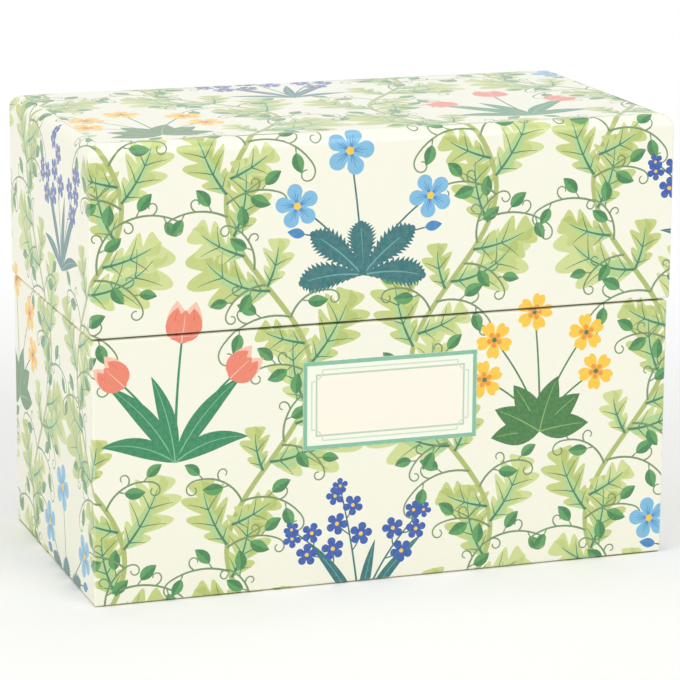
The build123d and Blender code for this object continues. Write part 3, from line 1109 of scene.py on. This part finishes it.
class WallSheet:
    # the paper of one wall, flat: u runs to the right as seen from outside, v along the sheet's path
    def __init__(self, name, box, path, rise, hidden):
        self.name, self.box, self.path = name, box, path
        self.rightward, self.inward, self.lowSeam, self.highSeam = walls[name]
        (x0, y0), (x1, y1) = box.low[:2], box.high[:2]
        # a place on the wall's face, the wall's two ends along u, and where its print starts round the box
        self.base, (self.low, self.high), around = {
            "front": ((0, y0), (x0, x1), 0.0),
            "right": ((x1, 0), (y0, y1), x1 - y0),
            "back": ((0, y1), (-x1, -x0), 2 * x1 + y1 - y0),
            "left": ((x0, 0), (-y1, -y0), x0 + y0),
        }[name]
        self.shift = np.array([around, rise])
        self.shown = path.low + hidden[0], path.high - hidden[1]
        self.flip = 1 if name in ("front", "right") else -1

    def printWindow(self):
        # no print is laid where other paper hides the sheet
        corners = np.array([(self.low, self.shown[0]), (self.high, self.shown[1])])
        return corners + self.shift

    def cut(self, paper):
        path, stations = self.path, self.path.stations
        depth, height = path.at(stations)[:2]
        outline = [(self.high - d, v) for v, d in zip(stations, depth)]
        outline += [(self.low + d, v) for v, d in zip(stations[::-1], depth[::-1])]
        creases = [[(self.low + d, v), (self.high - d, v)] for v, d in zip(stations[1:-1], depth[1:-1])]
        # upright creases where the corner is round, so that the sheet can roll over it
        radius = self.box.cornerRadius(depth, height)
        rolled = radius > 1e-4
        for k in range(cornerCreases):
            inset = (depth + radius * (1 - math.tan(k * math.pi / 4 / cornerCreases)))[rolled]
            creases.append(list(zip(self.high - inset, stations[rolled])))
            creases.append(list(zip(self.low + inset, stations[rolled])))
        shapes = [(ink, drawn - self.shift) for ink, drawn in paper.within(*self.printWindow())]
        self.points, self.triangles, self.inks = cutPaper(outline, creases, shapes)

    def seamOf(self, first, second):
        # the seam that an open edge lies on and its ends' places along it; a free edge has none
        middle = (first + second) / 2
        if abs(middle[1] - self.path.high) < 1e-6 and self.box.topEdge:
            return "top" + self.name, self.flip * first[0], self.flip * second[0]
        if min(abs(middle[1] - self.path.low), abs(middle[1] - self.path.high)) < 1e-6:
            return None
        seam = self.lowSeam if middle[0] < (self.low + self.high) / 2 else self.highSeam
        return seam, first[1], second[1]

    def onSeam(self, seam, along):
        # the flat place that lies at a place along a seam
        if seam.startswith("top"):
            return self.flip * along, self.path.high
        depth = self.path.at(along)[0, 0]
        return (self.low + depth if seam == self.lowSeam else self.high - depth), along

    def bend(self):
        # the flat sheet folded round the box: places and normals
        u, v = self.points.T
        depth, height, out, rise = self.path.at(v)
        level = np.outer(u, self.rightward) + np.outer(depth, self.inward) + self.base
        normals = np.column_stack([np.outer(out, self.inward), rise])
        return self.box.soften(np.column_stack([level, height]), normals, depth)


class TopSheet:
    # the flat middle of the lid's top, which the four walls' sheets meet
    def __init__(self, box, shift):
        self.name, self.box = "top", box
        self.low = box.low[:2] + box.topEdge
        self.high = box.high[:2] - box.topEdge
        self.shift = np.array([0.0, shift - self.low[1]])
        # axis that the seam crosses, and where
        self.seams = {
            "topfront": (1, self.low[1]),
            "topback": (1, self.high[1]),
            "topleft": (0, self.low[0]),
            "topright": (0, self.high[0]),
        }

    def printWindow(self):
        return self.low + self.shift, self.high + self.shift

    def cut(self, paper):
        shapes = [(ink, drawn - self.shift) for ink, drawn in paper.within(*self.printWindow())]
        self.points, self.triangles, self.inks = cutPaper(rectangle(self.low, self.high), [], shapes)

    def seamOf(self, first, second):
        middle = (first + second) / 2
        for name, (axis, limit) in self.seams.items():
            if abs(middle[axis] - limit) < 1e-6:
                return name, first[1 - axis], second[1 - axis]

    def onSeam(self, seam, along):
        axis, limit = self.seams[seam]
        return (along, limit) if axis else (limit, along)

    def bend(self):
        places = np.column_stack([self.points, np.full(len(self.points), self.box.high[2])])
        normals = np.tile((0.0, 0.0, 1.0), (len(places), 1))
        return places, normals


def zipSeams(sheets, closest=0.002):
    # neighbouring sheets take in each other's points along their common seams
    shared, rims = {}, []
    for sheet in sheets:
        rim = openEdges(sheet.triangles)
        named = {}
        for a, b in rim:
            found = sheet.seamOf(sheet.points[a], sheet.points[b])
            if found:
                named[a, b] = found
                shared.setdefault(found[0], []).extend(found[1:])
        rims.append((rim, named))
    for seam, spots in shared.items():
        spots = np.sort(spots)
        shared[seam] = spots[np.concatenate([[True], np.diff(spots) > closest])]
    for sheet, (rim, named) in zip(sheets, rims):
        points, inkList = list(sheet.points), list(sheet.inks)
        triangles = list(map(tuple, sheet.triangles))
        owner = dict(rim)
        for (a, b), (seam, start, end) in named.items():
            spots = shared[seam]
            ends = [int(np.argmin(abs(spots - spot))) for spot in (start, end)]
            for corner, spot in zip((a, b), ends):
                points[corner] = np.array(sheet.onSeam(seam, spots[spot]))
            way = 1 if ends[0] < ends[1] else -1
            for spot in range(ends[0] + way, ends[1], way):
                # the edge's triangle is split at the neighbour's point
                number = owner[a, b]
                tip = next(corner for corner in triangles[number] if corner not in (a, b))
                fresh = len(points)
                points.append(np.array(sheet.onSeam(seam, spots[spot])))
                triangles[number] = (a, fresh, tip)
                triangles.append((fresh, b, tip))
                inkList.append(inkList[number])
                last = len(triangles) - 1
                if (b, tip) in owner:
                    owner[b, tip] = last
                owner[fresh, b] = last
                a = fresh
        sheet.points, sheet.triangles, sheet.inks = np.array(points), np.array(triangles), np.array(inkList)


def sheetObject(name, parts, material, palette):
    # one welded mesh from bent sheets: parts are (places, normals, triangles, inks), in millimetres
    places, normals, triangles, inkLists = zip(*parts)
    starts = np.cumsum([0] + [len(part) for part in places])
    triangles = np.vstack([part + start for part, start in zip(triangles, starts)])
    places, normals, inkList = np.vstack(places) * mm, np.vstack(normals), np.concatenate(inkLists)
    mesh = bpy.data.meshes.new(name)
    mesh.vertices.add(len(places))
    mesh.vertices.foreach_set("co", places.ravel())
    mesh.loops.add(triangles.size)
    mesh.loops.foreach_set("vertex_index", triangles.ravel())
    mesh.polygons.add(len(triangles))
    mesh.polygons.foreach_set("loop_start", np.arange(0, triangles.size, 3))
    mesh.update(calc_edges=True)
    colours = np.array([linear(colour) for colour in palette.values()])
    ink = mesh.color_attributes.new("ink", "BYTE_COLOR", "CORNER")
    ink.data.foreach_set("color", np.repeat(colours[inkList], 3, axis=0).ravel())
    # the normals are kept through the welding as an attribute of the corners
    kept = mesh.attributes.new("facing", "FLOAT_VECTOR", "CORNER")
    kept.data.foreach_set("vector", normals[triangles.ravel()].ravel())
    welded = bmesh.new()
    welded.from_mesh(mesh)
    rims = [corner for corner in welded.verts if corner.is_boundary]
    bmesh.ops.remove_doubles(welded, verts=rims, dist=1e-6)
    welded.to_mesh(mesh)
    welded.free()
    facing = np.zeros(len(mesh.loops) * 3)
    mesh.attributes["facing"].data.foreach_get("vector", facing)
    mesh.shade_smooth()
    mesh.normals_split_custom_set(facing.reshape(-1, 3).tolist())
    mesh.attributes.remove(mesh.attributes["facing"])
    mesh.materials.append(material)
    return linkObject(name, mesh)


# millimetres; steps are the straight pieces of a bend
coverPlan = {
    "rimRound": 0.7,
    "rimSteps": 4,
    "footRound": 0.6,
    "footSteps": 3,
    "uprightRound": 0.6,
    "topEdgeRound": 3.5,
    "topEdgeSteps": 8,
    "topCornerRound": 1.1,
    "turnIn": 14.0,
    "turnUnder": 16.0,
    # how much of the sheet's lower and upper edge lies under other paper
    "baseHidden": (11.5, 9.5),
    "lidHidden": (8.5, 0.0),
    "baseWall": 2.5,
    "lidWall": 2.3,
    "wornEdge": 0.6,
}


def makeCover(name, node, body, path, box, hidden, top):
    rise = box.low[2] + (coverPlan["rimRound"] if top else coverPlan["footRound"])
    sheets = [WallSheet(wall, box, path, rise, hidden) for wall in walls]
    if top:
        sheets.append(TopSheet(box, path.high + rise))
    finish = printedFinish(name + "Print", box.low * mm, box.high * mm, coverPlan["wornEdge"] * mm)
    windows = np.array([sheet.printWindow() for sheet in sheets])
    paper = PrintedPaper(windows[:, 0].min(axis=0), windows[:, 1].max(axis=0), finish)
    for sheet in sheets:
        sheet.cut(paper)
    zipSeams(sheets)
    parts = [(*sheet.bend(), sheet.triangles, sheet.inks) for sheet in sheets]
    cover = sheetObject(name, parts, paper.finish, inks)
    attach(cover, body)
    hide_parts(node)
    print(name, "cut into", len(cover.data.polygons), "faces,", len(cover.data.vertices), "points")
    return cover


def overRim(wall):
    # the turned-in flap's path over a rim: bend, the wall's thickness, bend
    rim, steps = coverPlan["rimRound"], coverPlan["rimSteps"]
    return ("bend", rim, steps), ("straight", wall - 2 * rim, 1), ("bend", rim, steps)


def makeCovers():
    plan = coverPlan
    rim, foot, edge = plan["rimRound"], plan["footRound"], plan["topEdgeRound"]
    flap = ("straight", plan["turnIn"] - rim, 1)

    # base: from under the bottom, up the wall, over the rim and down inside
    low, high = boxOf("base_wrap")
    runs = (
        ("straight", plan["turnUnder"] - foot, 1),
        ("bend", foot, plan["footSteps"]),
        ("straight", high[2] - low[2] - foot - rim, 1),
        *overRim(plan["baseWall"]),
        flap,
    )
    path = SheetPath((plan["turnUnder"], low[2]), math.pi, runs, 2)
    box = Box(low, high, plan["uprightRound"])
    makeCover("baseWrap", "base_wrap", "base", path, box, plan["baseHidden"], False)

    # lid: from inside, down over the rim, up the wall and over the top edge
    low, high = boxOf("lid_wrap")
    runs = (
        flap,
        *overRim(plan["lidWall"]),
        ("straight", high[2] - low[2] - rim - edge, 1),
        ("bend", edge, plan["topEdgeSteps"]),
    )
    path = SheetPath((plan["lidWall"], low[2] + plan["turnIn"]), -math.pi / 2, runs, 4)
    box = Box(low, high, plan["uprightRound"], edge, plan["topCornerRound"])
    makeCover("lidWrap", "lid_wrap", "lid", path, box, plan["lidHidden"], True)


makeCovers()


labelInks = {
    "ground": (128, 190, 160),
    "band": (247, 250, 234),
    "ruleFaint": (210, 224, 202),
    "rule": (188, 210, 186),
    "centre": (254, 247, 232),
}

labelPlan = {
    "border": 1.2,
    "outerRule": (2.5, 0.4),  # inset and width
    "innerRule": (3.9, 0.5),
    "cornerScoop": 3.2,
    "wornEdge": 0.2,
}


def ruleFrame(drawing, ink, low, high, wide, scoop=0.0):
    # a ruled frame, plain or with its corners scooped out
    corners = rectangle(low, high)
    quarter = math.pi / 2
    for number, corner in enumerate(corners):
        after = corners[(number + 1) % 4]
        heading = math.atan2(*(after - corner)[::-1])
        ahead = np.array([math.cos(heading), math.sin(heading)])
        reach = np.linalg.norm(after - corner) - 2 * scoop + (wide if not scoop else 0)
        start = corner + ahead * (scoop or -wide / 2)
        drawing.stroke(1, ink, sweep(start, heading, reach, steps=2), wide)
        if scoop:
            arc = sweep(corner + ahead * scoop, heading + quarter, scoop * quarter, quarter, steps=12)
            drawing.stroke(1, ink, arc, wide)


def makeLabel():
    low, high = boxOf("front_label")
    lower, upper = low[[0, 2]], high[[0, 2]]
    drawing = Drawing()
    outset, outWide = labelPlan["outerRule"]
    inset, inWide = labelPlan["innerRule"]
    drawing.add(0, "band", rectangle(lower + labelPlan["border"], upper - labelPlan["border"]))
    drawing.add(0, "centre", rectangle(lower + inset, upper - inset))
    ruleFrame(drawing, "rule", lower + inset, upper - inset, inWide)
    ruleFrame(drawing, "ruleFaint", lower + outset, upper - outset, outWide, labelPlan["cornerScoop"])
    inkOrder = list(labelInks)
    shapes = [(inkOrder.index(ink), drawn) for _, ink, drawn in drawing.shapes]
    outline = rectangle(lower, upper)
    points, triangles, inkList = cutPaper(outline, [], shapes)
    face = np.column_stack([points[:, 0], np.full(len(points), low[1]), points[:, 1]])
    parts = [(face, np.tile((0.0, -1.0, 0.0), (len(face), 1)), triangles, inkList)]
    # the cut edges and the back have the paper's own colour
    quad, bare = np.array([(0, 2, 1), (0, 3, 2)]), np.full(2, inkOrder.index("band"))
    near, far = (np.column_stack([outline[:, 0], np.full(4, y), outline[:, 1]]) for y in (low[1], high[1]))
    for k in range(4):
        after = (k + 1) % 4
        side = np.array([near[k], near[after], far[after], far[k]])
        out = np.cross(side[3] - side[0], side[1] - side[0])
        parts.append((side, np.tile(out / np.linalg.norm(out), (4, 1)), quad, bare))
    parts.append((far, np.tile((0.0, 1.0, 0.0), (4, 1)), quad, bare))
    finish = printedFinish("labelPrint", low * mm, high * mm, labelPlan["wornEdge"] * mm)
    label = sheetObject("frontLabel", parts, finish, labelInks)
    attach(label, "base")
    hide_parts("front_label")


makeLabel()
print("label made")


hingePlan = {
    "colour": (140, 192, 164),
    "threadPitch": 0.0007,  # metres
    "foldReach": 1.4,  # a length on each leaf from the fold, in millimetres
    "foldSpan": 1.5,  # rows lie close within this many reaches of the fold
    "foldRows": 32,
    "leafRows": 5,
    "columns": 40,
    "pressedEdge": 0.5,
    "edgeThickness": 0.35,  # share of the cloth's thickness at its pressed edge
}


def makeHinge():
    # one strip of cloth over both leaves, thick in the middle and pressed thin at its edges
    low, high = boxOf("hinge_cloth_lower")
    top = boxOf("hinge_cloth_upper")[1]
    fold, reach, edge = high[2], hingePlan["foldReach"], hingePlan["pressedEdge"]
    thick, thin = high[1] - low[1], hingePlan["edgeThickness"]
    span, leafRows = hingePlan["foldSpan"] * reach, hingePlan["leafRows"]
    rows = np.concatenate(
        [
            [low[2], low[2] + edge / 2, low[2] + edge],
            np.linspace(low[2] + edge, fold - span, leafRows + 1)[1:],
            np.linspace(fold - span, fold + span, hingePlan["foldRows"] + 1)[1:],
            np.linspace(fold + span, top[2] - edge, leafRows + 1)[1:],
            [top[2] - edge / 2, top[2]],
        ]
    )
    columns = np.concatenate(
        [
            [low[0], low[0] + edge / 2],
            np.linspace(low[0] + edge, high[0] - edge, hingePlan["columns"]),
            [high[0] - edge / 2, high[0]],
        ]
    )
    x, z = np.meshgrid(columns, rows)
    inward = np.minimum.reduce([x - low[0], high[0] - x, z - low[2], top[2] - z])
    share = np.clip(inward / edge, 0, 1)
    y = low[1] + thick * (thin + (1 - thin) * np.sqrt(share * (2 - share)))
    outer = np.column_stack([x.ravel(), y.ravel(), z.ravel()])
    inner = np.column_stack([x.ravel(), np.full(x.size, low[1]), z.ravel()])
    # an outer and an inner quad at every place, and a ring of quads round the edge
    number = np.arange(x.size).reshape(x.shape)
    a, b, c, d = number[:-1, :-1], number[:-1, 1:], number[1:, 1:], number[1:, :-1]
    quads = np.stack([a, d, c, b, a + x.size, b + x.size, c + x.size, d + x.size], axis=-1).reshape(-1, 4)
    rim = np.array([*number[0, :], *number[1:, -1], *number[-1, -2::-1], *number[-2:0:-1, 0]])
    after = np.roll(rim, -1)
    sides = np.column_stack([rim, after, after + x.size, rim + x.size])
    mesh = bpy.data.meshes.new("hingeCloth")
    mesh.from_pydata((np.vstack([outer, inner]) * mm).tolist(), [], np.vstack([quads, sides]).tolist())
    mesh.shade_smooth()
    cloth = mesh.uv_layers.new(name="clothMap")
    corners = np.array([mesh.vertices[loop.vertex_index].co for loop in mesh.loops])
    cloth.data.foreach_set("uv", corners[:, [0, 2]].ravel())
    mesh.materials.append(clothFinish("hingeClothFinish", hingePlan["colour"], hingePlan["threadPitch"]))
    strip = linkObject("hingeCloth", mesh)
    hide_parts("hinge_cloth_lower", "hinge_cloth_upper")
    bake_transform(strip)


makeHinge()
print("hinge strip made")
